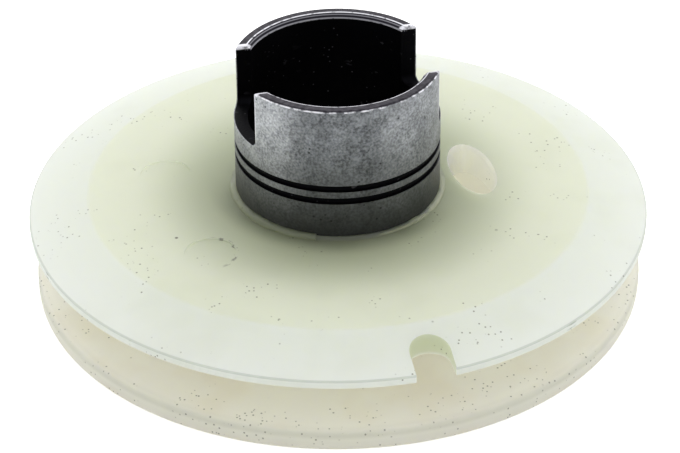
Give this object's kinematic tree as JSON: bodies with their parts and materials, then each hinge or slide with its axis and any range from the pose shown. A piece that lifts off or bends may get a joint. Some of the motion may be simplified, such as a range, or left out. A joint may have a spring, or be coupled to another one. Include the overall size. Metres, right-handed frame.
{
  "type": "starter rope pulley",
  "caption": "Nylon rope reel with a deep rope groove, rim notch and rope hole, moulded round a slotted steel drive sleeve.",
  "frame": {"origin": "middle of the underside, on the pulley's axis", "axes": "+Z along the axis towards the drive sleeve's mouth, +X through the middle of the sleeve's two drive slots"},
  "size_m": [0.0788, 0.0788, 0.0318],
  "materials": {
    "nylon": "milky natural nylon, satin",
    "sleeve_steel": "ground and tumbled grey steel"
  },
  "bodies": {
    "root": {"pulley_body": "nylon", "drive_sleeve": "sleeve_steel"}
  },
  "joints": []
}
